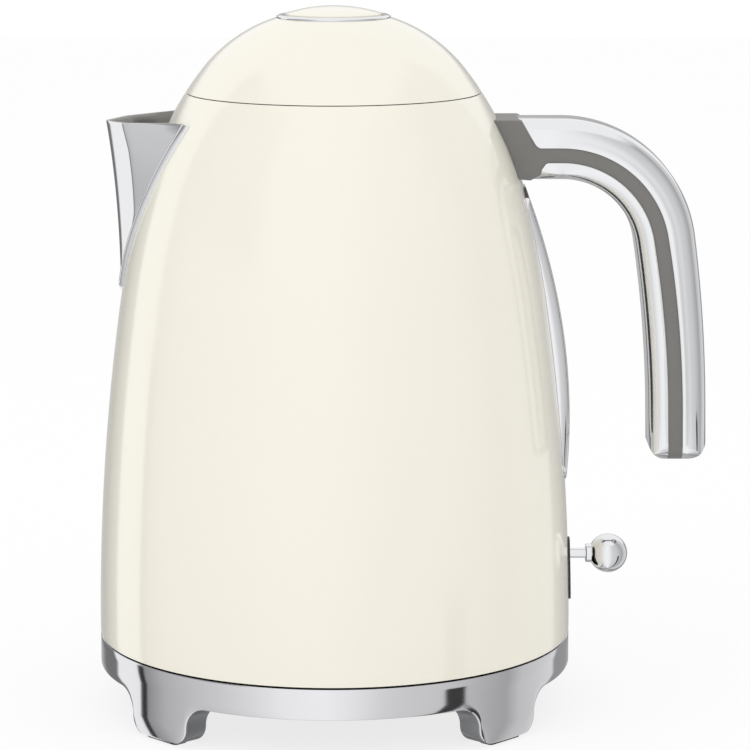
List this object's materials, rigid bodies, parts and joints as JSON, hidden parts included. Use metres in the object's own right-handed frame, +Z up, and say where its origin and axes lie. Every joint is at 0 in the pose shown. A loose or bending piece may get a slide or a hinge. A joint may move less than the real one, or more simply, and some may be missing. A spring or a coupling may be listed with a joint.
{
  "type": "electric kettle",
  "caption": "Domed electric kettle with spout, hinged push-button lid, handle and switch lever, lifting off and turning on a round footed power base.",
  "frame": {"origin": "the kettle's vertical axis at the level of the table that the foot pads stand on", "axes": "+Z up along the kettle axis, +X towards the handle and switch, -X towards the spout"},
  "size_m": [0.2183, 0.17, 0.2519],
  "materials": {
    "cream_paint": "gloss",
    "cream_plastic": "gloss",
    "polished_metal": "polished",
    "polished_aluminium": "polished",
    "inner_steel": "brushed",
    "grey_plastic": "satin",
    "black_plastic": "satin",
    "rubber_black": "matte",
    "silicone": "matte",
    "brass": "plain",
    "clear_plastic": "clear"
  },
  "bodies": {
    "base": {"base_ring": "polished_aluminium", "foot_pads": "rubber_black", "base_top_plate": "black_plastic", "base_bottom_plate": "black_plastic", "base_screws": "inner_steel", "cord_gland": "rubber_black", "base_socket": "black_plastic", "socket_contacts": "brass"},
    "connector": {"kettle_connector": "black_plastic", "connector_pins": "brass"},
    "kettle": {"outer_shell": "cream_paint", "bottom_cover": "black_plastic", "heating_plate": "inner_steel", "heating_element": "inner_steel", "control_unit": "black_plastic", "lever_pin": "inner_steel", "slot_bezel": "black_plastic", "steam_tube": "inner_steel", "window_lens": "clear_plastic", "window_trim": "polished_metal", "window_gasket": "silicone", "spout": "polished_metal", "spout_trim": "polished_metal", "filter_frame": "inner_steel", "filter_mesh": "inner_steel", "neck_ring": "grey_plastic", "hinge_bracket": "inner_steel", "hinge_pin": "inner_steel", "handle_core": "grey_plastic", "handle_outer_shell": "polished_aluminium", "handle_inner_shell": "polished_aluminium", "handle_screws": "inner_steel"},
    "lever": {"switch_lever": "polished_metal", "lever_rocker": "black_plastic"},
    "lid": {"lid_dome": "cream_paint", "lid_inner_plate": "grey_plastic", "lid_gasket": "silicone", "hinge_arm": "inner_steel", "button_ring": "polished_metal", "button_guide": "black_plastic", "button_spring": "inner_steel"},
    "button": {"lid_button": "cream_plastic"},
    "latch": {"lid_latch": "black_plastic"}
  },
  "joints": [
    {"name": "kettle_lift", "type": "slide", "parent": "base", "child": "connector", "axis": [0, 0, 1], "range_m": [0, 0.08]},
    {"name": "kettle_swivel", "type": "hinge", "parent": "connector", "child": "kettle", "pos_m": [0, 0, 0], "axis": [0, 0, 1], "continuous": true},
    {"name": "switch_lever", "type": "hinge", "parent": "kettle", "child": "lever", "pos_m": [0.062, 0, 0.0539], "axis": [0, 1, 0], "range_deg": [0, 20]},
    {"name": "lid_hinge", "type": "hinge", "parent": "kettle", "child": "lid", "pos_m": [0.05232, 0, 0.2133], "axis": [0, 1, 0], "range_deg": [0, 78]},
    {"name": "lid_button", "type": "slide", "parent": "lid", "child": "button", "axis": [0, 0, -1], "range_m": [0, 0.003], "stiffness_N_per_m": 700, "springref_m": -0.002, "deforming": ["button_spring"]},
    {"name": "lid_latch", "type": "slide", "parent": "lid", "child": "latch", "axis": [1, 0, 0], "range_m": [0, 0.0018]}
  ],
  "couplings": [
    {"joint": "lid_latch", "follows": "lid_button", "ratio": 0.6}
  ]
}
